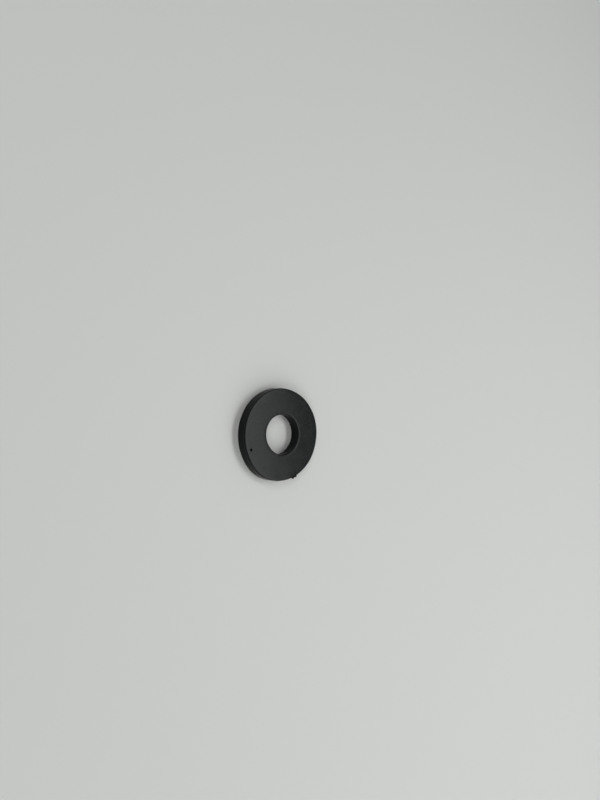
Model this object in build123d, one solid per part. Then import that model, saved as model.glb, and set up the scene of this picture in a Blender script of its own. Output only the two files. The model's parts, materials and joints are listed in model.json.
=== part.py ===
from build123d import *
import os

# A flat rubber sealing washer, moulded in one piece, lying as it does on a bench.
# Millimetres. The origin is the centre of the bottom face and +Z is the bore's axis.

# The ring
OUTSIDE_DIAMETER = 24.0
BORE_DIAMETER = 10.7
THICKNESS = 3.1
RIM_EDGE_RADIUS = 0.2  # of the two corners round the outside
BORE_EDGE_RADIUS = 0.15  # of the two corners round the bore

# The torn flash: what stayed on the rim where the runner was pulled off the moulding,
# a low web along the rim with rounded tags standing out of it
FLASH_ANGLE = 18.6  # of the first tag, counted from +X towards +Y
FLASH_BELOW_TOP = 0.3  # from the top face down to the flash's upper side
FLASH_THICKNESS = 0.4
WEB_PROUD = 0.2  # how far the web stands out from the rim
TAG_PROUD = 0.5  # how far a tag does
TAG_WIDTH = 0.8
TAG_PITCH = 4.5  # degrees along the rim from one tag to the next
TAG_COUNT = 2

# The pore: an air bubble that came open at the top face
PORE_DIAMETER = 0.65
PORE_DEPTH = 0.3
PORE_INSET = 1.4  # from the rim in to the pore's middle
PORE_ANGLE = -71.0  # counted as the flash's is

outside_radius = OUTSIDE_DIAMETER / 2
bore_radius = BORE_DIAMETER / 2


def plain_ring():
    """The washer's section, a rectangle with softened corners, turned about the bore's axis."""
    section = Pos((outside_radius + bore_radius) / 2, THICKNESS / 2) * Rectangle(
        outside_radius - bore_radius, THICKNESS
    )
    section = fillet(section.vertices().group_by(Axis.X)[-1], RIM_EDGE_RADIUS)
    section = fillet(section.vertices().group_by(Axis.X)[0], BORE_EDGE_RADIUS)
    return revolve(Plane.XZ * section, Axis.Z)


def torn_flash():
    """The web and its tags: one outline on the flash's lower side, raised by its thickness."""
    length = TAG_PITCH * (TAG_COUNT - 1)
    along_rim = CenterArc((0, 0), outside_radius, FLASH_ANGLE, length)
    web = SlotArc(along_rim, 2 * WEB_PROUD)
    tag_radius = TAG_WIDTH / 2
    tag_places = PolarLocations(
        outside_radius + TAG_PROUD - tag_radius, TAG_COUNT, FLASH_ANGLE, length, endpoint=True
    )
    outline = web + [place * Circle(tag_radius) for place in tag_places]
    lower_side = THICKNESS - FLASH_BELOW_TOP - FLASH_THICKNESS
    return extrude(Pos(0, 0, lower_side) * outline, FLASH_THICKNESS)


def pore():
    """The ball whose cap is hollowed out of the top face: as wide and as deep as the pore."""
    ball_radius = (PORE_DIAMETER**2 / 4 + PORE_DEPTH**2) / (2 * PORE_DEPTH)
    middle = Rot(0, 0, PORE_ANGLE) * Pos(outside_radius - PORE_INSET, 0, 0)
    return middle * Pos(0, 0, THICKNESS - PORE_DEPTH + ball_radius) * Sphere(ball_radius)


gasket = plain_ring() + torn_flash() - pore()
gasket.label = "gasket"

os.makedirs("parts", exist_ok=True)
export_step(gasket, "parts/gasket.step")
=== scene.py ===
"""A flat black rubber washer, lying on a pale bench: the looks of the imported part.

Metres throughout, in the part's own frame: the origin is the centre of the bottom face and
+Z is the bore's axis.
"""
import json
import math
from types import SimpleNamespace

import bmesh
import bpy
from bpy.props import FloatProperty, FloatVectorProperty, IntProperty, PointerProperty
from mathutils import Matrix, Vector, noise


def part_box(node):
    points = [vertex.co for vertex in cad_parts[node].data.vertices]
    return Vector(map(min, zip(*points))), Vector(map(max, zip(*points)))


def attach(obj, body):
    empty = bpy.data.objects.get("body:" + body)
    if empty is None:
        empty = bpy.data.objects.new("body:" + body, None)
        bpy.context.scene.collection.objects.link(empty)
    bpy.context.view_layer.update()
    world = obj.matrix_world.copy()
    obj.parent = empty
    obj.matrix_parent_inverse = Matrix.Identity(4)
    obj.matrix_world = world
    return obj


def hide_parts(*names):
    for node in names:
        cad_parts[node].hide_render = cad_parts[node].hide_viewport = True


bl_info = {
    "name": "Rubber Washer",
    "version": (1, 0, 0),
    "blender": (4, 5, 0),
    "location": "3D View > Sidebar > Washer",
    "description": "Builds a moulded rubber washer and the bench it lies on",
    "category": "Add Mesh",
}

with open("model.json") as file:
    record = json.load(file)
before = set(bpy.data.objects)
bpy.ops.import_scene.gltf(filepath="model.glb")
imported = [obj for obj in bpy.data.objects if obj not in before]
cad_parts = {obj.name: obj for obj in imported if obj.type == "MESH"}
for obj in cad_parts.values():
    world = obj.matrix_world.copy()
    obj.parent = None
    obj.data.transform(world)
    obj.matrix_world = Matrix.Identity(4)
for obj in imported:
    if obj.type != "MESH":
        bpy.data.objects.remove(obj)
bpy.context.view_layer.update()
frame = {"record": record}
MM = 0.001

RING_LOW, RING_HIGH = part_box("gasket")
BORE = next(mount for mount in frame["record"]["mounts"] if mount["name"] == "bore")


class WasherRing(bpy.types.PropertyGroup):
    """Sizes of the moulded ring."""

    outside_radius: FloatProperty(
        name="Outside Radius",
        description="From the bore's axis out to the rim",
        default=RING_HIGH[0],
        unit="LENGTH",
    )
    bore_radius: FloatProperty(
        name="Bore Radius",
        description="From the bore's axis to its wall",
        default=BORE["dims"]["r_mm"] * MM,
        unit="LENGTH",
    )
    thickness: FloatProperty(
        name="Thickness",
        description="From the bottom face to the top face",
        default=RING_HIGH[2] - RING_LOW[2],
        unit="LENGTH",
    )
    rim_edge: FloatProperty(
        name="Rim Edge",
        description="Radius of the corners round the rim",
        default=0.2 * MM,
        unit="LENGTH",
    )
    bore_edge: FloatProperty(
        name="Bore Edge",
        description="Radius of the corners round the bore",
        default=0.15 * MM,
        unit="LENGTH",
    )
    roll_off: FloatProperty(
        name="Roll Off",
        description="How far the flat faces sink towards their edges, ahead of the corners",
        default=0.03 * MM,
        unit="LENGTH",
    )
    roll_off_width: FloatProperty(
        name="Roll Off Width",
        description="How far in from an edge a face begins to sink",
        default=0.7 * MM,
        unit="LENGTH",
    )
    out_of_round: FloatProperty(
        name="Out of Round",
        description="Share of the moulding's departure from round, 0 for a true ring",
        default=1.0,
        min=0.0,
        subtype="FACTOR",
    )
    columns: IntProperty(
        name="Columns",
        description="Steps of the mesh round the bore's axis",
        default=512,
    )
    row_spacing: FloatProperty(
        name="Row Spacing",
        description="Steps of the mesh along the section's straight sides",
        default=0.2 * MM,
        unit="LENGTH",
    )
    unevenness: FloatProperty(
        name="Unevenness",
        description="How far the moulded skin strays from its true shape",
        default=0.02 * MM,
        unit="LENGTH",
    )
    swell_size: FloatProperty(
        name="Swell Size",
        description="How far apart the skin's highs and lows lie",
        default=4 * MM,
        unit="LENGTH",
    )
    seed: FloatProperty(
        name="Seed",
        description="Picks one of the many ways in which the skin can be uneven",
        default=7.0,
    )


class WasherFlash(bpy.types.PropertyGroup):
    """Sizes of the scrap of flash on the rim."""

    angle: FloatProperty(
        name="Angle",
        description="Where the first tag stands, from +X towards +Y",
        default=math.radians(18.6),
        subtype="ANGLE",
    )
    tag_pitch: FloatProperty(
        name="Tag Pitch",
        description="Angle from one tag to the next",
        default=math.radians(4.5),
        subtype="ANGLE",
    )
    tag_count: IntProperty(name="Tags", description="How many tags the scrap has", default=2)
    tag_width: FloatProperty(
        name="Tag Width",
        description="Width of a tag along the rim",
        default=0.8 * MM,
        unit="LENGTH",
    )
    tag_proud: FloatProperty(
        name="Tag Proud",
        description="How far a tag stands out from the rim",
        default=0.5 * MM,
        unit="LENGTH",
    )
    web_proud: FloatProperty(
        name="Web Proud",
        description="How far the web between the tags stands out",
        default=0.2 * MM,
        unit="LENGTH",
    )
    tear_angle: FloatProperty(
        name="Tear Angle",
        description="Where the corner is torn above the first tag, from +X towards +Y",
        default=math.radians(17.4),
        subtype="ANGLE",
    )
    tear_reach: FloatProperty(
        name="Tear Reach",
        description="How far the rubber is torn round the root of a tag",
        default=0.4 * MM,
        unit="LENGTH",
    )
    tear_depth: FloatProperty(
        name="Tear Depth",
        description="How deep the tear goes into the corner",
        default=0.08 * MM,
        unit="LENGTH",
    )
    thickness: FloatProperty(
        name="Thickness",
        description="Thickness of the flash",
        default=0.4 * MM,
        unit="LENGTH",
    )
    below_top: FloatProperty(
        name="Below Top",
        description="From the top face down to the flash",
        default=0.3 * MM,
        unit="LENGTH",
    )


class WasherPore(bpy.types.PropertyGroup):
    """Sizes of the open air bubble in the top face."""

    angle: FloatProperty(
        name="Angle",
        description="Where the pore is, from +X towards +Y",
        default=math.radians(-71.0),
        subtype="ANGLE",
    )
    inset: FloatProperty(
        name="Inset",
        description="From the rim in to the pore's middle",
        default=1.4 * MM,
        unit="LENGTH",
    )
    diameter: FloatProperty(
        name="Diameter",
        description="Width of the pore's mouth",
        default=0.65 * MM,
        unit="LENGTH",
    )
    depth: FloatProperty(
        name="Depth",
        description="Depth of the pore",
        default=0.3 * MM,
        unit="LENGTH",
    )


class WasherRubber(bpy.types.PropertyGroup):
    """Colours and finish of the rubber."""

    face_colour: FloatVectorProperty(
        name="Face Colour",
        description="The faintly bloomed rubber of the flat faces",
        default=(0.0172, 0.0203, 0.0201),
        subtype="COLOR",
    )
    # Darker than the faces partly because the rubber has no bloom there, and partly as painted
    # shade on the walls and round the corners
    clean_and_shade_colour: FloatVectorProperty(
        name="Clean Colour",
        description="Rubber without bloom, on the walls and round the corners",
        default=(0.0030, 0.0041, 0.0039),
        subtype="COLOR",
    )
    # Partly raw rubber and partly painted shade, in the pore and on the flash's tags and tears
    torn_and_shade_colour: FloatVectorProperty(
        name="Torn Colour",
        description="The raw inside of the rubber, where the flash tore and in the pore",
        default=(0.0020, 0.0021, 0.0021),
        subtype="COLOR",
    )
    dust_colour: FloatVectorProperty(
        name="Dust Colour",
        description="Fine specks of dust caught on the upper face",
        default=(0.16, 0.16, 0.15),
        subtype="COLOR",
    )
    dust_spacing: FloatProperty(
        name="Dust Spacing",
        description="From one place where a speck may lie to the next",
        default=0.5 * MM,
        unit="LENGTH",
    )
    # Within this reach of a corner the darker clean colour stays: clean rubber and a band of
    # painted shade along the edges
    clean_and_shade_edge: FloatProperty(
        name="Clean Edge",
        description="How far from a corner the bloom begins",
        default=0.20 * MM,
        unit="LENGTH",
    )
    grain_size: FloatProperty(
        name="Grain Size",
        description="Size of the fine grain that the mould left",
        default=0.09 * MM,
        unit="LENGTH",
    )
    grain_height: FloatProperty(
        name="Grain Height",
        description="Height of the fine grain",
        default=0.006 * MM,
        unit="LENGTH",
    )


class WasherStage(bpy.types.PropertyGroup):
    """The bench and the lights."""

    floor_colour: FloatVectorProperty(
        name="Floor Colour",
        description="The pale bench",
        default=(0.697, 0.711, 0.690),
        subtype="COLOR",
    )
    strip_power: FloatProperty(
        name="Strip Power",
        description="The long light beyond the washer, on the +Y side",
        default=1.27,
        unit="POWER",
    )
    low_strip_power: FloatProperty(
        name="Low Strip Power",
        description="The long light below the strip, on the +Y side",
        default=0.17,
        unit="POWER",
    )
    far_power: FloatProperty(
        name="Far Fill Power",
        description="The soft light beyond the washer, between +X and +Y",
        default=0.446,
        unit="POWER",
    )
    right_power: FloatProperty(
        name="Right Fill Power",
        description="The long low light on the +X side",
        default=0.58,
        unit="POWER",
    )
    right_corner_power: FloatProperty(
        name="Right Corner Power",
        description="The soft light between +X and -Y",
        default=0.67,
        unit="POWER",
    )
    left_corner_power: FloatProperty(
        name="Left Corner Power",
        description="The soft light between -X and -Y",
        default=0.79,
        unit="POWER",
    )
    horizon_brightness: FloatProperty(
        name="Horizon Brightness",
        description="Light from low down, all round",
        default=0.67,
    )


# Node trees ---------------------------------------------------------------------------------


def node(tree, kind, inputs=None, **settings):
    """Adds a node; each input is given a value, or is linked when it is given a socket."""
    made = tree.nodes.new(kind)
    for setting, value in settings.items():
        setattr(made, setting, value)
    for name, value in (inputs or {}).items():
        if isinstance(value, bpy.types.NodeSocket):
            tree.links.new(value, made.inputs[name])
        else:
            made.inputs[name].default_value = value
    return made


def maths(tree, operation, *values):
    """The result of one Math node."""
    made = node(tree, "ShaderNodeMath", dict(enumerate(values)), operation=operation)
    return made.outputs[0]


def ramp(tree, value, low, high, at_low=0.0, at_high=1.0):
    """Eases from at_low to at_high as value goes from low to high."""
    made = node(
        tree,
        "ShaderNodeMapRange",
        {
            "Value": value,
            "From Min": low,
            "From Max": high,
            "To Min": at_low,
            "To Max": at_high,
        },
        interpolation_type="SMOOTHSTEP",
    )
    return made.outputs["Result"]


def axis_distance(tree, along):
    """How far a place is from the bore's axis."""
    flat = node(tree, "ShaderNodeCombineXYZ", {"X": along["X"], "Y": along["Y"]})
    length = node(
        tree, "ShaderNodeVectorMath", {0: flat.outputs["Vector"]}, operation="LENGTH"
    )
    return length.outputs["Value"]


# The ring -----------------------------------------------------------------------------------

EDGE_STEPS = 8  # faces round a softened corner
BORE_DRIFT = 0.09 * MM  # how far towards +Y the mould's core stood off its place
# Where the ring is out of round: degrees from +X towards +Y, degrees to each side, and how far
# the rim and the bore's wall lie outwards there
OUT_OF_ROUND = (
    (-31, 38, 0.27 * MM, 0.0),
    (-45, 50, 0.0, -0.17 * MM),
    (-172, 25, 0.06 * MM, 0.0),
    (-172, 42, 0.0, -0.13 * MM),
    (160, 28, -0.06 * MM, 0.0),
    (100, 25, 0.06 * MM, 0.0),
    (52, 22, 0.04 * MM, 0.0),
)
# What the ring is grown from: each input takes the ring setting of its name
RING_INPUTS = {
    "Outside Radius": "NodeSocketFloat",
    "Bore Radius": "NodeSocketFloat",
    "Thickness": "NodeSocketFloat",
    "Rim Edge": "NodeSocketFloat",
    "Bore Edge": "NodeSocketFloat",
    "Roll Off": "NodeSocketFloat",
    "Roll Off Width": "NodeSocketFloat",
    "Out of Round": "NodeSocketFloat",
    "Columns": "NodeSocketInt",
    "Row Spacing": "NodeSocketFloat",
    "Unevenness": "NodeSocketFloat",
    "Swell Size": "NodeSocketFloat",
    "Seed": "NodeSocketFloat",
}


def rounded_section(tree, given):
    """The section as a curve: a rectangle about its own middle, with rounded corners and rows."""
    across = maths(tree, "SUBTRACT", given["Outside Radius"], given["Bore Radius"])
    square = node(
        tree,
        "GeometryNodeCurvePrimitiveQuadrilateral",
        {"Width": across, "Height": given["Thickness"]},
    )
    here = node(tree, "GeometryNodeInputPosition").outputs["Position"]
    sideways = node(tree, "ShaderNodeSeparateXYZ", {"Vector": here}).outputs["X"]
    at_rim = maths(tree, "GREATER_THAN", sideways, 0.0)
    edge = node(
        tree,
        "ShaderNodeMix",
        {"Factor": at_rim, "A": given["Bore Edge"], "B": given["Rim Edge"]},
    )
    rounded = node(
        tree,
        "GeometryNodeFilletCurve",
        {"Curve": square.outputs["Curve"], "Count": EDGE_STEPS, "Radius": edge.outputs["Result"]},
        mode="POLY",
    )
    index = node(tree, "GeometryNodeInputIndex").outputs["Index"]
    count = node(tree, "GeometryNodeSplineLength").outputs["Point Count"]
    following = maths(tree, "MODULO", maths(tree, "ADD", index, 1.0), count)
    there = node(
        tree,
        "GeometryNodeFieldAtIndex",
        {"Value": here, "Index": following},
        data_type="FLOAT_VECTOR",
    )
    side = node(
        tree,
        "ShaderNodeVectorMath",
        {0: here, 1: there.outputs["Value"]},
        operation="DISTANCE",
    )
    cuts = maths(tree, "DIVIDE", side.outputs["Value"], given["Row Spacing"])
    rows = node(
        tree, "GeometryNodeSubdivideCurve", {"Curve": rounded.outputs["Curve"], "Cuts": cuts}
    )
    return rows.outputs["Curve"]


def swept_ring(tree, given):
    """The section swept round the bore's axis, standing on its bottom face."""
    both = maths(tree, "ADD", given["Outside Radius"], given["Bore Radius"])
    path = node(
        tree,
        "GeometryNodeCurvePrimitiveCircle",
        {"Resolution": given["Columns"], "Radius": maths(tree, "MULTIPLY", both, 0.5)},
    )
    swept = node(
        tree,
        "GeometryNodeCurveToMesh",
        {"Curve": path.outputs["Curve"], "Profile Curve": rounded_section(tree, given)},
    )
    half = maths(tree, "MULTIPLY", given["Thickness"], 0.5)
    lift = node(tree, "ShaderNodeCombineXYZ", {"Z": half})
    raised = node(
        tree,
        "GeometryNodeTransform",
        {"Geometry": swept.outputs["Mesh"], "Translation": lift.outputs["Vector"]},
    )
    return raised.outputs["Geometry"]


def sunken_edges(tree, given, along, from_side):
    """The offset that lets both faces sink towards their edges."""
    nearness = maths(tree, "DIVIDE", from_side, given["Roll Off Width"])
    nearness = maths(tree, "MAXIMUM", maths(tree, "SUBTRACT", 1.0, nearness), 0.0)
    depth = maths(tree, "MULTIPLY", maths(tree, "POWER", nearness, 2.0), given["Roll Off"])
    level = maths(tree, "DIVIDE", along["Z"], given["Thickness"])
    level = maths(tree, "MULTIPLY_ADD", level, -2.0, 1.0)
    offset = node(tree, "ShaderNodeCombineXYZ", {"Z": maths(tree, "MULTIPLY", level, depth)})
    return offset.outputs["Vector"]


def wandering_outline(tree, given, along, radius):
    """The offset that takes the rim and the bore out of round, and lets the bore drift."""
    across = maths(tree, "SUBTRACT", given["Outside Radius"], given["Bore Radius"])
    from_bore = maths(tree, "SUBTRACT", radius, given["Bore Radius"])
    outwards = maths(tree, "DIVIDE", from_bore, across)
    inwards = maths(tree, "SUBTRACT", 1.0, outwards)
    turn = maths(tree, "ARCTAN2", along["Y"], along["X"])
    swell = 0.0
    for angle, reach, at_rim, at_bore in OUT_OF_ROUND:
        away = maths(tree, "COSINE", maths(tree, "SUBTRACT", turn, math.radians(angle)))
        share = ramp(tree, maths(tree, "ARCCOSINE", away), 0.0, math.radians(reach), 1.0, 0.0)
        proud = maths(
            tree,
            "ADD",
            maths(tree, "MULTIPLY", outwards, at_rim),
            maths(tree, "MULTIPLY", inwards, at_bore),
        )
        swell = maths(tree, "MULTIPLY_ADD", share, proud, swell)
    swell = maths(tree, "DIVIDE", maths(tree, "MULTIPLY", swell, given["Out of Round"]), radius)
    drift = maths(tree, "MULTIPLY", given["Out of Round"], BORE_DRIFT)
    sideways = maths(tree, "MULTIPLY", along["X"], swell)
    forwards = maths(tree, "MULTIPLY", along["Y"], swell)
    forwards = maths(tree, "MULTIPLY_ADD", inwards, drift, forwards)
    offset = node(tree, "ShaderNodeCombineXYZ", {"X": sideways, "Y": forwards})
    return offset.outputs["Vector"]


def uneven_skin(tree, given, here, outward):
    """The offset that lets the skin swell and sink, a little and slowly."""
    swells = node(
        tree,
        "ShaderNodeTexNoise",
        {
            "Vector": here,
            "W": given["Seed"],
            "Scale": maths(tree, "DIVIDE", 1.0, given["Swell Size"]),
            "Detail": 2.0,
        },
        noise_dimensions="4D",
    )
    amount = maths(tree, "SUBTRACT", swells.outputs["Fac"], 0.5)
    offset = node(
        tree,
        "ShaderNodeVectorMath",
        {"Vector": outward, "Scale": maths(tree, "MULTIPLY", amount, given["Unevenness"])},
        operation="SCALE",
    )
    return offset.outputs["Vector"]


def stored(tree, geometry, name, value):
    """Keeps a number on the mesh's points, for the material to read."""
    kept = node(
        tree,
        "GeometryNodeStoreNamedAttribute",
        {"Geometry": geometry, "Name": name, "Value": value},
        data_type="FLOAT",
        domain="POINT",
    )
    return kept.outputs["Geometry"]


def moved(tree, geometry, offset):
    """Moves each point by its own offset."""
    shifted = node(tree, "GeometryNodeSetPosition", {"Geometry": geometry, "Offset": offset})
    return shifted.outputs["Geometry"]


def ring_tree():
    """Sweeps the section round the bore's axis, then gives it the moulding's small faults."""
    tree = bpy.data.node_groups.new("Washer Ring", "GeometryNodeTree")
    for name, kind in RING_INPUTS.items():
        tree.interface.new_socket(name, in_out="INPUT", socket_type=kind)
    tree.interface.new_socket("Rubber", in_out="INPUT", socket_type="NodeSocketMaterial")
    tree.interface.new_socket("Ring", in_out="OUTPUT", socket_type="NodeSocketGeometry")
    given = node(tree, "NodeGroupInput").outputs
    ring = swept_ring(tree, given)

    # What the material needs: how upright the skin stands, and how far off the next corner is
    here = node(tree, "GeometryNodeInputPosition").outputs["Position"]
    along = node(tree, "ShaderNodeSeparateXYZ", {"Vector": here}).outputs
    radius = axis_distance(tree, along)
    outward = node(tree, "GeometryNodeInputNormal").outputs["Normal"]
    upward = node(tree, "ShaderNodeSeparateXYZ", {"Vector": outward}).outputs["Z"]
    wall = maths(tree, "SUBTRACT", 1.0, maths(tree, "ABSOLUTE", upward))
    ring = stored(tree, ring, "wall", wall)
    from_side = maths(
        tree,
        "MINIMUM",
        maths(tree, "SUBTRACT", given["Outside Radius"], radius),
        maths(tree, "SUBTRACT", radius, given["Bore Radius"]),
    )
    from_top = maths(tree, "SUBTRACT", given["Thickness"], along["Z"])
    from_face = maths(tree, "MINIMUM", from_top, along["Z"])
    ring = stored(tree, ring, "corner", maths(tree, "MAXIMUM", from_side, from_face))

    sunken = sunken_edges(tree, given, along, from_side)
    wandering = wandering_outline(tree, given, along, radius)
    faults = node(tree, "ShaderNodeVectorMath", {0: sunken, 1: wandering})
    ring = moved(tree, ring, faults.outputs["Vector"])
    ring = moved(tree, ring, uneven_skin(tree, given, here, outward))
    smooth = node(tree, "GeometryNodeSetShadeSmooth", {"Geometry": ring})
    real = node(
        tree, "GeometryNodeRealizeInstances", {"Geometry": smooth.outputs["Geometry"]}
    )
    finished = node(
        tree,
        "GeometryNodeSetMaterial",
        {"Geometry": real.outputs["Geometry"], "Material": given["Rubber"]},
    )
    node(tree, "NodeGroupOutput", {"Ring": finished.outputs["Geometry"]})
    return tree


def grown(name, tree, values):
    """The plain mesh that a node tree makes from these values."""
    holder = bpy.data.objects.new(name, bpy.data.meshes.new(name))
    bpy.context.collection.objects.link(holder)
    modifier = holder.modifiers.new(tree.name, "NODES")
    modifier.node_group = tree
    for item in tree.interface.items_tree:
        if item.in_out == "INPUT":
            modifier[item.identifier] = values[item.name]
    depsgraph = bpy.context.evaluated_depsgraph_get()
    mesh = bpy.data.meshes.new_from_object(holder.evaluated_get(depsgraph))
    mesh.name = name
    bpy.data.objects.remove(holder)
    return mesh


# The pore and the flash ---------------------------------------------------------------------

FINE_STEPS = 12  # mesh steps across half the pore, and through the flash's thickness

PORE_FADE = (1.0, 1.25)  # where raw rubber and painted shade begin and stop fading, in the pore's half widths
PORE_RAGGED = 0.10  # how far the pore's outline strays, as a share of its half width
PORE_LOBES = 1.5  # how finely it strays: the more, the more lobes it has
PORE_SEED = 3.0  # picks one of the outlines

COARSE_LUMPS = 0.3 * MM  # the torn rubber's larger lumps
FINE_LUMPS = 0.11 * MM
FINE_SHARE = 0.6  # the height of the fine lumps, against the coarse ones
TEAR_FADE = (0.75, 1.25)  # where raw rubber and painted shade begin and stop fading, in a tear's reaches
TEAR_RAGGED = 0.35  # how far the lumps sway a tear's edge
TEAR_MEAN = 0.5  # a tear's depth on average, as a share of its full depth
TEAR_INSET = 0.1 * MM  # from the rim in to the upper end of a tear
TAG_RAGGED = 0.3  # how far the lumps sway a tag's height
TAG_FULLNESS = 1.08  # how much prouder a ragged tag stands than a smooth one, on average


def clamped(value):
    """The value, no lower than 0 and no higher than 1."""
    return min(1.0, max(0.0, value))


def faded(value, start, end):
    """1 as long as the value is under start, then falling to 0 at end."""
    return clamped((end - value) / (end - start))


def refine(shape, middle, reach, finest):
    """Halves the edges within reach of a place until none there is longer than finest."""
    long_edges = [True]
    while long_edges:
        long_edges = [
            edge
            for edge in shape.edges
            if edge.calc_length() > finest
            and ((edge.verts[0].co + edge.verts[1].co) / 2 - middle).length < reach
        ]
        bmesh.ops.subdivide_edges(
            shape, edges=long_edges, cuts=1, use_grid_fill=True, use_single_edge=True
        )


def polar(radius, angle, height):
    """A place given by its distance from the bore's axis, its angle and its height."""
    return Vector((radius * math.cos(angle), radius * math.sin(angle), height))


def press_pore(shape, ring, pore):
    """Presses the open air bubble into the top face, a little out of round."""
    middle = polar(ring.outside_radius - pore.inset, pore.angle, ring.thickness)
    mouth = pore.diameter / 2
    refine(shape, middle, 2 * mouth, mouth / FINE_STEPS)
    hollow = shape.verts.layers.float.new("hollow")
    for vert in shape.verts:
        away = vert.co - middle
        if away.length > 2 * mouth:
            continue
        turn = math.atan2(away.y, away.x)
        stray = noise.noise(Vector((math.cos(turn), math.sin(turn), PORE_SEED)) * PORE_LOBES)
        part = away.xy.length / (mouth * (1 + PORE_RAGGED * stray))
        if part < 1:
            vert.co.z -= pore.depth * math.sqrt(1 - part**2)
        # hollow: where the torn colour darkens the pore, as raw rubber and painted shade
        vert[hollow] = faded(part, *PORE_FADE)


def off_line(place, start, end):
    """How far a place is from the line between two others."""
    line = end - start
    share = clamped((place - start).dot(line) / line.length_squared)
    return (place - start - share * line).length


def lumps(place):
    """The torn rubber's lumps at a place: about 0 on average, seldom past 1 either way."""
    return noise.noise(place / COARSE_LUMPS) + FINE_SHARE * noise.noise(place / FINE_LUMPS)


def bulge(along, rise):
    """The share of its full height that a tag or the web has: 1 in its middle, 0 outside it."""
    part = along**2 + rise**4
    return (1 - part**2) ** 0.5 if part < 1 else 0.0


def raise_flash(shape, ring, flash):
    """Draws the scrap of flash out of the rim: a low web with ragged tags, torn at their roots."""
    rim = ring.outside_radius
    height = ring.thickness - flash.below_top - flash.thickness / 2
    tags = [flash.angle + number * flash.tag_pitch for number in range(flash.tag_count)]
    half_span = flash.tag_pitch * (flash.tag_count - 1) / 2
    middle_angle = flash.angle + half_span
    middle = polar(rim, middle_angle, height)
    reach = rim * half_span + flash.tag_width
    refine(shape, middle, reach, flash.thickness / FINE_STEPS)
    shift = flash.tear_angle - flash.angle
    tears = [
        (polar(rim - TEAR_INSET, tag + shift, ring.thickness), polar(rim, tag, height))
        for tag in tags
    ]
    torn = shape.verts.layers.float.new("torn")
    for vert in shape.verts:
        if (vert.co - middle).length > reach:
            continue
        outward = Vector((vert.co.x, vert.co.y, 0.0)).normalized()
        grain = lumps(vert.co)
        near = min(off_line(vert.co, *tear) for tear in tears) / flash.tear_reach
        tear = faded(near - TEAR_RAGGED * grain, *TEAR_FADE)
        sunk = flash.tear_depth * tear * (TEAR_MEAN + grain)
        vert[torn] = tear
        if vert.co.xy.length < rim - ring.rim_edge:
            vert.co.z -= sunk
            continue
        turn = math.atan2(vert.co.y, vert.co.x)
        rise = (vert.co.z - height) / (flash.thickness / 2)
        proud = max(
            flash.tag_proud * bulge(rim * (turn - tag) / (flash.tag_width / 2), rise)
            for tag in tags
        )
        beyond = max(0.0, abs(turn - middle_angle) - half_span)
        proud = max(proud, flash.web_proud * bulge(rim * beyond / flash.web_proud, rise))
        proud *= TAG_FULLNESS + TAG_RAGGED * grain
        # The tags take the dark torn colour all over: raw rubber and painted shade
        vert[torn] = max(tear, min(1.0, proud / flash.web_proud))
        vert.co += outward * (proud - sunk)


class GASKET_OT_ring(bpy.types.Operator):
    """Make the moulded ring, with its pore and its scrap of flash"""

    bl_idname = "gasket.ring"
    bl_label = "Ring"

    def execute(self, context):
        ring = context.scene.washer_ring
        flash = context.scene.washer_flash
        values = {name: getattr(ring, name.lower().replace(" ", "_")) for name in RING_INPUTS}
        values["Rubber"] = rubber_material(context.scene.washer_rubber, ring, flash)
        mesh = grown("moulded_ring", ring_tree(), values)
        shape = bmesh.new()
        shape.from_mesh(mesh)
        press_pore(shape, ring, context.scene.washer_pore)
        raise_flash(shape, ring, flash)
        # Nothing reaches below what the washer lies on
        for vert in shape.verts:
            vert.co.z = max(vert.co.z, RING_LOW[2])
        bmesh.ops.recalc_face_normals(shape, faces=shape.faces)
        shape.to_mesh(mesh)
        shape.free()
        piece = bpy.data.objects.new("moulded_ring", mesh)
        context.collection.objects.link(piece)
        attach(piece, "root")
        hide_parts("gasket")
        return {"FINISHED"}


# The rubber ---------------------------------------------------------------------------------

# Patterns in the skin: the size of their lumps, the noise's detail, and the levels of the noise
# between which they set in
CLOUDS = (2.6 * MM, 5.0, 0.30, 0.70)
MOTTLE = (0.4 * MM, 3.0, 0.35, 0.65)
POWDER = (0.1 * MM, 4.0, 0.38, 0.62)
SCUFFS = (3.5 * MM, 4.0, 0.62, 0.74)
SCUFF_SLIMNESS = 18.0  # how many times longer than wide a scuff is
SCUFF_TURNS = (0.5, 2.0)  # the ways the scuffs lie, in radians
EVEN_BLOOM = 0.195  # bloom that lies everywhere on the faces, besides the patterns
BLOOM_FADE = 0.22 * MM  # over which the bloom sets in, away from a corner
BLOOM_WANDER = 0.2 * MM  # how far its edge strays
WANDER_SIZE = 0.8 * MM  # how far apart that edge's bays lie

DUST_FREE = 0.72  # share of the places that have no speck
DUST_SIZES = (0.4, 1.6)  # the smallest and the largest speck, against a usual one
DUST_EDGE = (0.03, 0.08)  # how far out a usual speck begins and stops fading, in spacings
DUST_SLOPES = (0.3, 0.9)  # upward part of the skin's normal, from no dust to as much as there is
DUST_COVER = 0.7  # how well a speck hides the rubber

# Sizes in the relief
DIMPLE_SIZE = 0.45 * MM
FIBRE_SIZE = 0.06 * MM
TURNING_PITCH = 0.14 * MM
PARTING_LINE = (0.02 * MM, 0.06 * MM)  # half its width at the top of the ridge and at its foot

IOR = 1.5
SHEEN = 0.1  # mirror light, where 0.5 is all that the index of refraction gives
SATIN = (0.155, 0.195)  # roughness of the faces, where the bloom is thin and where it is thick
TORN_ROUGHNESS = 0.75
POWDERED = 1.5  # how many times lighter clean rubber is where powder lies on it


def noise_at(tree, place, size, detail=3.0):
    """Noise between 0 and 1, whose lumps are about size across."""
    made = node(
        tree, "ShaderNodeTexNoise", {"Vector": place, "Scale": 1 / size, "Detail": detail}
    )
    return made.outputs["Fac"]


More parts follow.
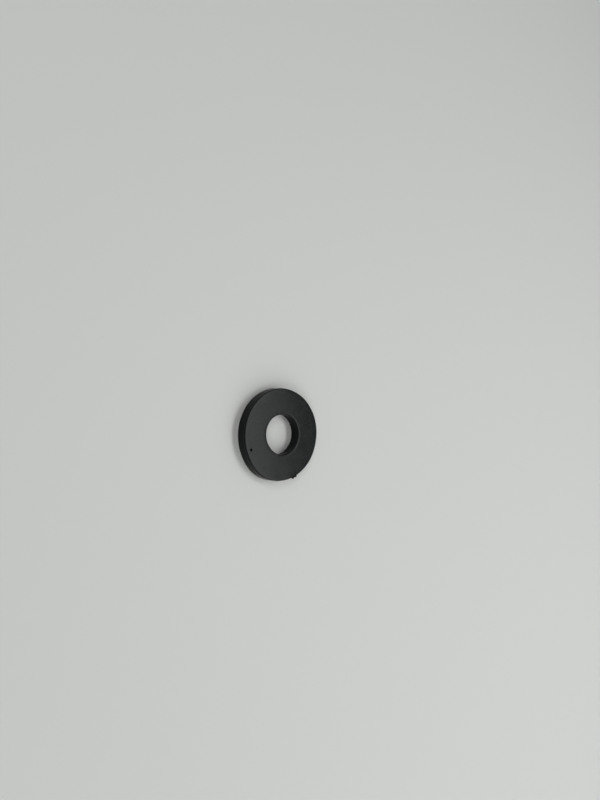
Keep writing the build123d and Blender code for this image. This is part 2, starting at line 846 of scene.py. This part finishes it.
def patches(tree, place, size, detail, low, high):
    """Soft patches, 1 in their middles and 0 between them."""
    return ramp(tree, noise_at(tree, place, size, detail), low, high)


def blend(tree, share, one, other):
    """One colour going over to another; each is three numbers or a socket."""
    inputs = {0: share}  # the node's colours are its inputs 6 and 7 and its output 2
    for socket, colour in ((6, one), (7, other)):
        linked = isinstance(colour, bpy.types.NodeSocket)
        inputs[socket] = colour if linked else (*colour, 1.0)
    return node(tree, "ShaderNodeMix", inputs, data_type="RGBA").outputs[2]


def attribute(tree, name):
    """A number stored on the mesh."""
    return node(tree, "ShaderNodeAttribute", attribute_name=name).outputs["Fac"]


def dust_specks(tree, place, spacing):
    """Sparse specks of different sizes, 1 in their middles and 0 between them."""
    cells = node(tree, "ShaderNodeTexVoronoi", {"Vector": place, "Scale": 1 / spacing})
    tint = node(tree, "ShaderNodeSeparateColor", {"Color": cells.outputs["Color"]})
    smallest, largest = DUST_SIZES
    size = maths(tree, "MULTIPLY_ADD", tint.outputs["Green"], largest - smallest, smallest)
    away = maths(tree, "DIVIDE", cells.outputs["Distance"], size)
    near = ramp(tree, away, *DUST_EDGE, 1.0, 0.0)
    chosen = maths(tree, "GREATER_THAN", tint.outputs["Red"], DUST_FREE)
    return maths(tree, "MULTIPLY", near, chosen)


def scuffs(tree, place, turn):
    """Faint straight rubs, long and thin, that lie at one angle."""
    turned = node(
        tree,
        "ShaderNodeMapping",
        {"Vector": place, "Rotation": (0.0, 0.0, turn), "Scale": (1.0, SCUFF_SLIMNESS, 1.0)},
    )
    return patches(tree, turned.outputs["Vector"], *SCUFFS)


def turning_marks(tree, place, radius, pitch):
    """Faint rings round the bore, which the rubber took over from the turned mould."""
    waver = maths(tree, "MULTIPLY", noise_at(tree, place, 3 * MM, 1.0), 0.5 * pitch)
    across = maths(tree, "DIVIDE", maths(tree, "ADD", radius, waver), pitch)
    rings = node(
        tree,
        "ShaderNodeTexNoise",
        {"W": across, "Scale": 1.0, "Detail": 2.0},
        noise_dimensions="1D",
    )
    return rings.outputs["Fac"]


def weighted_sum(tree, *parts):
    """The sum of pairs of a value and its weight."""
    total = 0.0
    for value, weight in parts:
        total = maths(tree, "MULTIPLY_ADD", value, weight, total)
    return total


def skin_fields(tree):
    """What the material knows about a place on the skin, as sockets."""
    place = node(tree, "ShaderNodeTexCoord").outputs["Object"]
    along = node(tree, "ShaderNodeSeparateXYZ", {"Vector": place}).outputs
    wall = attribute(tree, "wall")
    return SimpleNamespace(
        place=place,
        height=along["Z"],
        radius=axis_distance(tree, along),
        wall=wall,
        face=maths(tree, "SUBTRACT", 1.0, wall),
        corner=attribute(tree, "corner"),
        # raw: the pore and the flash, whose dark colour is raw rubber and painted shade
        raw=maths(tree, "MAXIMUM", attribute(tree, "hollow"), attribute(tree, "torn")),
    )


def relief(tree, skin, look, ring, flash):
    """Grain, dimples, turning marks, a hairline at the flash's height, and torn fibres."""
    parting = ring.thickness - flash.below_top - flash.thickness / 2
    above = maths(tree, "ABSOLUTE", maths(tree, "SUBTRACT", skin.height, parting))
    middle = (ring.outside_radius + ring.bore_radius) / 2
    outside = maths(tree, "GREATER_THAN", skin.radius, middle)
    line = maths(tree, "MULTIPLY", ramp(tree, above, *PARTING_LINE, 1.0, 0.0), outside)
    turned = turning_marks(tree, skin.place, skin.radius, TURNING_PITCH)
    fibres = noise_at(tree, skin.place, FIBRE_SIZE, 5.0)
    heights = weighted_sum(
        tree,
        (noise_at(tree, skin.place, look.grain_size), 1.0),
        (noise_at(tree, skin.place, DIMPLE_SIZE, 2.0), 1.5),
        (maths(tree, "MULTIPLY", turned, skin.face), 0.5),
        (maths(tree, "MULTIPLY", line, skin.wall), 3.0),
        (maths(tree, "MULTIPLY", fibres, skin.raw), 8.0),
    )
    bump = node(
        tree, "ShaderNodeBump", {"Height": heights, "Strength": 1.0, "Distance": look.grain_height}
    )
    return bump.outputs["Normal"]


def dust(tree, skin, spacing):
    """How thickly dust covers a place: specks, on what faces up."""
    normal = node(tree, "ShaderNodeNewGeometry").outputs["Normal"]
    upward = node(tree, "ShaderNodeSeparateXYZ", {"Vector": normal}).outputs["Z"]
    settled = ramp(tree, upward, *DUST_SLOPES, 0.0, DUST_COVER)
    return maths(tree, "MULTIPLY", dust_specks(tree, skin.place, spacing), settled)


def rubber_material(look, ring, flash):
    """Black rubber: softly bloomed faces, dark walls and corners (clean rubber and painted shade),
    fine grain.
    """
    material = bpy.data.materials.new("moulded_black_rubber")
    material.use_nodes = True
    tree = material.node_tree
    shader = tree.nodes["Principled BSDF"]
    shader.inputs["IOR"].default_value = IOR
    shader.inputs["Specular IOR Level"].default_value = SHEEN
    skin = skin_fields(tree)
    specks = dust(tree, skin, look.dust_spacing)

    # Bloom: powdery clouds on the faces, hardly any on the walls and round the corners, which keep
    # the darker clean colour: clean rubber and painted shade
    wander = maths(tree, "MULTIPLY", noise_at(tree, skin.place, WANDER_SIZE), BLOOM_WANDER)
    corner = maths(tree, "ADD", skin.corner, wander)
    off_edge = ramp(tree, corner, look.clean_and_shade_edge, look.clean_and_shade_edge + BLOOM_FADE)
    clouds = patches(tree, skin.place, *CLOUDS)
    mottle = patches(tree, skin.place, *MOTTLE)
    powder = patches(tree, skin.place, *POWDER)
    lying = weighted_sum(tree, (clouds, 0.25), (mottle, 0.4), (powder, 0.35), (1.0, EVEN_BLOOM))
    bloom = maths(tree, "MULTIPLY", maths(tree, "MULTIPLY", off_edge, skin.face), lying)

    # Colour: the clean colour is painted shade on the walls and round the corners as well as clean
    # rubber
    powdered = [part * POWDERED for part in look.clean_and_shade_colour]
    colour = blend(tree, powder, look.clean_and_shade_colour, powdered)
    colour = blend(tree, bloom, colour, look.face_colour)
    # The torn colour is painted shade in the pore and on the flash as well as raw rubber
    colour = blend(tree, skin.raw, colour, look.torn_and_shade_colour)
    colour = blend(tree, specks, colour, look.dust_colour)
    tree.links.new(colour, shader.inputs["Base Color"])

    # Roughness: satin on the faces, duller on the walls, round the corners and where torn
    satin = ramp(tree, clouds, 0.0, 1.0, *SATIN)
    at_edge = maths(tree, "SUBTRACT", 1.0, off_edge)
    rubs = maths(tree, "ADD", *(scuffs(tree, skin.place, turn) for turn in SCUFF_TURNS))
    rough = weighted_sum(
        tree, (satin, 1.0), (at_edge, 0.12), (skin.wall, 0.12), (rubs, -0.025), (specks, 0.4)
    )
    rough = maths(tree, "MAXIMUM", rough, maths(tree, "MULTIPLY", skin.raw, TORN_ROUGHNESS))
    tree.links.new(rough, shader.inputs["Roughness"])

    tree.links.new(relief(tree, skin, look, ring, flash), shader.inputs["Normal"])
    return material


# The stage ----------------------------------------------------------------------------------

CAMERA_AIM = Vector((-8.97, 8.62, 0.0)) * MM
CAMERA_DISTANCE = 163.9 * MM
CAMERA_PITCH = math.radians(49.45)
CAMERA_LENS = 27.0
BENCH_RADIUS = 0.35
BENCH_SIDES = 256
BENCH_ROUGHNESS = 0.6
# The lights: name, width and height in metres, degrees from +X towards +Y, degrees above the
# bench. Each one's power is the stage's setting of that name.
LIGHTS = (
    ("strip", (0.42, 0.17), 90, 60),
    ("low_strip", (0.42, 0.12), 90, 36),
    ("far", (0.30, 0.30), 50, 42),
    ("right", (0.70, 0.20), 10, 28),
    ("right_corner", (0.40, 0.20), 315, 45),
    ("left_corner", (0.40, 0.20), 225, 45),
)
LIGHT_DISTANCE = 0.6
HORIZON_DEGREES = (6, 35)  # between these heights the light from the horizon fades out
ROOM_TINT = (0.98, 1.0, 0.97, 1.0)


def floor(look):
    """The pale bench, round and larger than what the camera takes in."""
    mesh = bpy.data.meshes.new("bench")
    disc = bmesh.new()
    bmesh.ops.create_circle(disc, cap_ends=True, radius=BENCH_RADIUS, segments=BENCH_SIDES)
    disc.to_mesh(mesh)
    disc.free()
    material = bpy.data.materials.new("pale_bench")
    material.use_nodes = True
    shader = material.node_tree.nodes["Principled BSDF"]
    shader.inputs["Base Color"].default_value = (*look.floor_colour, 1.0)
    shader.inputs["Roughness"].default_value = BENCH_ROUGHNESS
    mesh.materials.append(material)
    bench = bpy.data.objects.new("bench", mesh)
    bpy.context.collection.objects.link(bench)


def soft_light(name, power, size, azimuth, elevation):
    """A rectangular light that looks at the washer; azimuth counts from +X towards +Y."""
    light = bpy.data.lights.new(name, "AREA")
    light.shape = "RECTANGLE"
    light.size, light.size_y = size
    light.energy = power
    lamp = bpy.data.objects.new(name, light)
    height = math.sin(elevation) * LIGHT_DISTANCE
    lamp.location = polar(math.cos(elevation) * LIGHT_DISTANCE, azimuth, height)
    lamp.rotation_euler = lamp.location.to_track_quat("Z", "Y").to_euler()
    lamp.visible_camera = False
    bpy.context.collection.objects.link(lamp)


def room(look):
    """Light from all round: a pale band at the horizon that fades out higher up."""
    world = bpy.data.worlds.new("room")
    world.use_nodes = True
    tree = world.node_tree
    direction = node(tree, "ShaderNodeTexCoord").outputs["Generated"]
    height = node(tree, "ShaderNodeSeparateXYZ", {"Vector": direction}).outputs["Z"]
    low, high = (math.sin(math.radians(degrees)) for degrees in HORIZON_DEGREES)
    strength = ramp(tree, height, low, high, look.horizon_brightness, 0.0)
    tree.links.new(strength, tree.nodes["Background"].inputs["Strength"])
    tree.nodes["Background"].inputs["Color"].default_value = ROOM_TINT
    bpy.context.scene.world = world


def camera():
    """A hand-held camera close above the bench, held on its side."""
    lens = bpy.data.cameras.new("camera")
    lens.lens = CAMERA_LENS
    lens.clip_start = 0.005
    eye = bpy.data.objects.new("camera", lens)
    backward = Vector((0.0, -math.cos(CAMERA_PITCH), math.sin(CAMERA_PITCH)))
    right = Vector((0.0, math.sin(CAMERA_PITCH), math.cos(CAMERA_PITCH)))
    up = backward.cross(right)
    turn = Matrix((right, up, backward)).transposed().to_4x4()
    eye.matrix_world = Matrix.Translation(CAMERA_AIM + backward * CAMERA_DISTANCE) @ turn
    bpy.context.collection.objects.link(eye)
    bpy.context.scene.camera = eye


class GASKET_OT_stage(bpy.types.Operator):
    """Make the bench, the lights and the camera"""

    bl_idname = "gasket.stage"
    bl_label = "Stage"

    def execute(self, context):
        look = context.scene.washer_stage
        floor(look)
        for name, size, azimuth, elevation in LIGHTS:
            power = getattr(look, f"{name}_power")
            soft_light(name, power, size, math.radians(azimuth), math.radians(elevation))
        room(look)
        context.scene.view_settings.view_transform = "Standard"
        camera()
        return {"FINISHED"}


# The add-on ---------------------------------------------------------------------------------


class GASKET_PT_sidebar(bpy.types.Panel):
    """The washer's pieces and sizes"""

    bl_idname = "GASKET_PT_sidebar"
    bl_label = "Rubber Washer"
    bl_space_type = "VIEW_3D"
    bl_region_type = "UI"
    bl_category = "Washer"

    def draw(self, context):
        for settings, operator in PANEL_ROWS:
            box = self.layout.box()
            group = getattr(context.scene, settings)
            for name in group.__annotations__:
                box.prop(group, name)
            if operator:
                box.operator(operator)


SETTINGS = {
    "washer_ring": WasherRing,
    "washer_flash": WasherFlash,
    "washer_pore": WasherPore,
    "washer_rubber": WasherRubber,
    "washer_stage": WasherStage,
}
PANEL_ROWS = (
    ("washer_flash", None),
    ("washer_pore", None),
    ("washer_rubber", None),
    ("washer_ring", GASKET_OT_ring.bl_idname),
    ("washer_stage", GASKET_OT_stage.bl_idname),
)
CLASSES = (*SETTINGS.values(), GASKET_OT_ring, GASKET_OT_stage, GASKET_PT_sidebar)


def register():
    for cls in CLASSES:
        bpy.utils.register_class(cls)
    for name, group in SETTINGS.items():
        setattr(bpy.types.Scene, name, PointerProperty(type=group))


def unregister():
    for name in SETTINGS:
        delattr(bpy.types.Scene, name)
    for cls in reversed(CLASSES):
        bpy.utils.unregister_class(cls)


def main():
    register()
    bpy.ops.gasket.ring()
    bpy.ops.gasket.stage()


if __name__ == "__main__":
    main()
